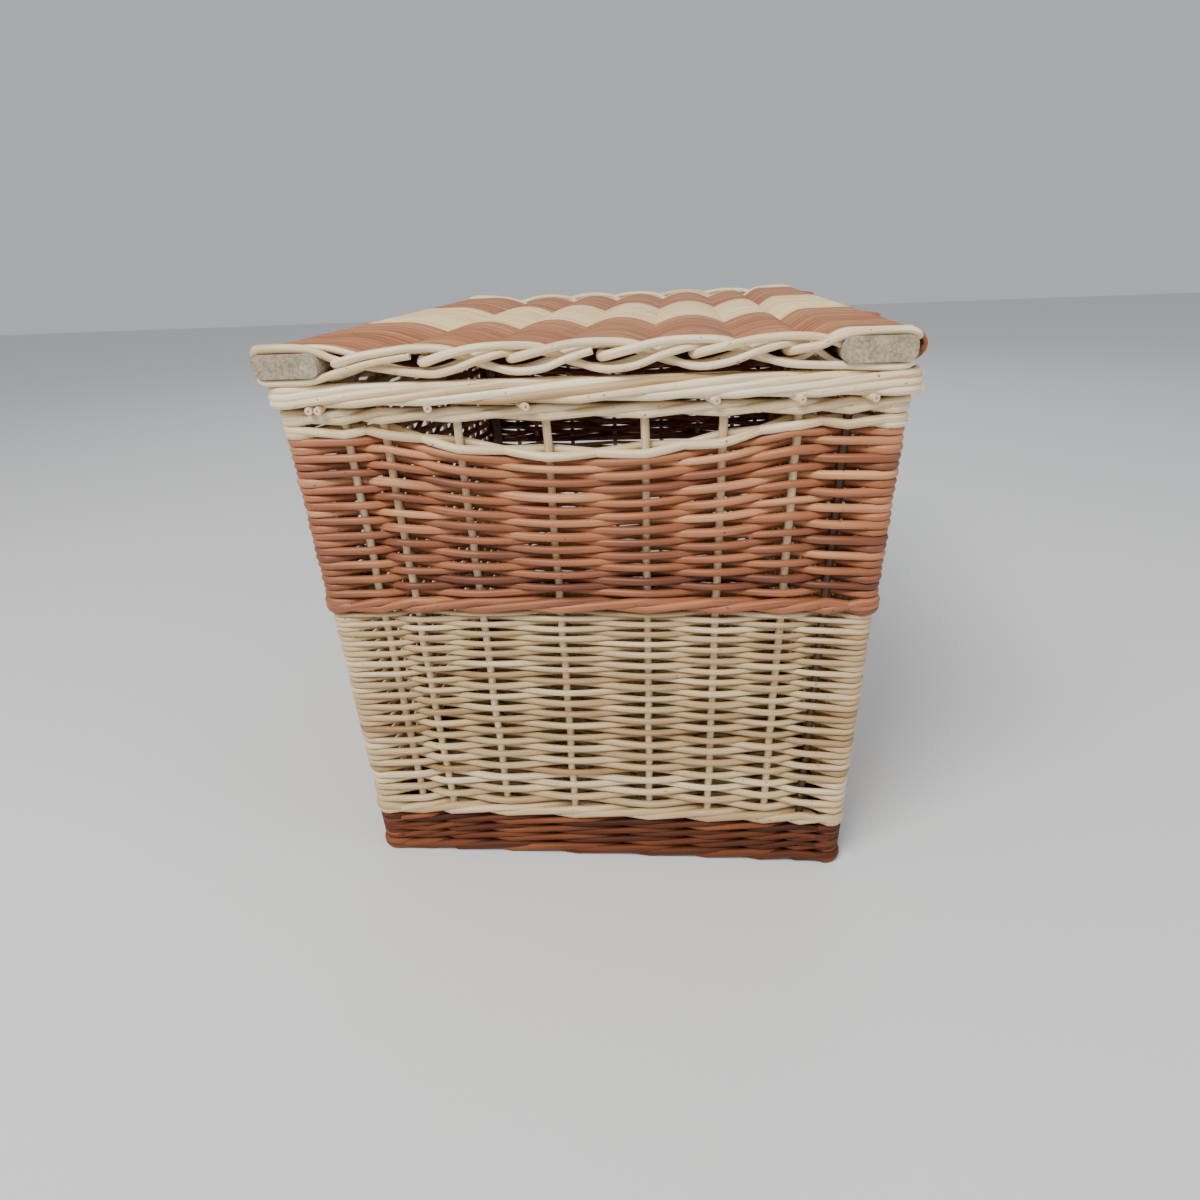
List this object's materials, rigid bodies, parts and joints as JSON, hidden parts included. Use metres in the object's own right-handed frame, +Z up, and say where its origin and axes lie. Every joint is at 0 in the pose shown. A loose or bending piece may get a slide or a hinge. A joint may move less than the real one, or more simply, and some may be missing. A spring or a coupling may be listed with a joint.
{
  "type": "laundry hamper",
  "caption": "Rectangular woven willow laundry hamper in brown and cream bands, with carry holes in its short walls and a hinged woven lid",
  "frame": {"origin": "on the floor, under the middle of the basket's rectangular foot", "axes": "+Z up, X across the basket with the lid's hinge along the rim at +X, Y along it with a carry hole in each short wall; the pictured short wall faces -Y"},
  "size_m": [0.4256, 0.576, 0.4176],
  "materials": {
    "buff_willow": "satin, smooth boiled and stripped rod",
    "white_willow": "satin, smooth stripped rod",
    "sawn_wood": "matte, rough sawn ends"
  },
  "bodies": {
    "basket": {"corner_post_front_left": "sawn_wood", "corner_post_front_right": "sawn_wood", "corner_post_rear_left": "sawn_wood", "corner_post_rear_right": "sawn_wood", "front_stakes": "white_willow", "rear_stakes": "white_willow", "left_stakes": "white_willow", "right_stakes": "white_willow", "base_bar_left": "sawn_wood", "base_bar_right": "sawn_wood", "base_ribs": "white_willow", "base_weave": "white_willow", "foot_band": "buff_willow", "lower_wale": "white_willow", "cream_band": "white_willow", "middle_wale": "buff_willow", "brown_band": "buff_willow", "handle_wale": "white_willow", "upper_wale": "white_willow", "rim_border": "white_willow", "hinge_rod": "white_willow"},
    "lid": {"lid_bar_left": "sawn_wood", "lid_bar_right": "sawn_wood", "lid_rib_1": "white_willow", "lid_rib_2": "white_willow", "lid_rib_3": "white_willow", "lid_rib_4": "white_willow", "lid_rib_5": "white_willow", "lid_front_brown_band": "buff_willow", "lid_cream_band": "white_willow", "lid_rear_brown_band": "buff_willow", "lid_front_twist": "white_willow", "lid_rear_twist": "white_willow", "hinge_loop_front": "buff_willow", "hinge_loop_rear": "buff_willow"}
  },
  "joints": [
    {"name": "lid_hinge", "type": "hinge", "parent": "basket", "child": "lid", "pos_m": [0.2045, 0, 0.3885], "axis": [0, 1, 0], "range_deg": [0, 100]}
  ]
}
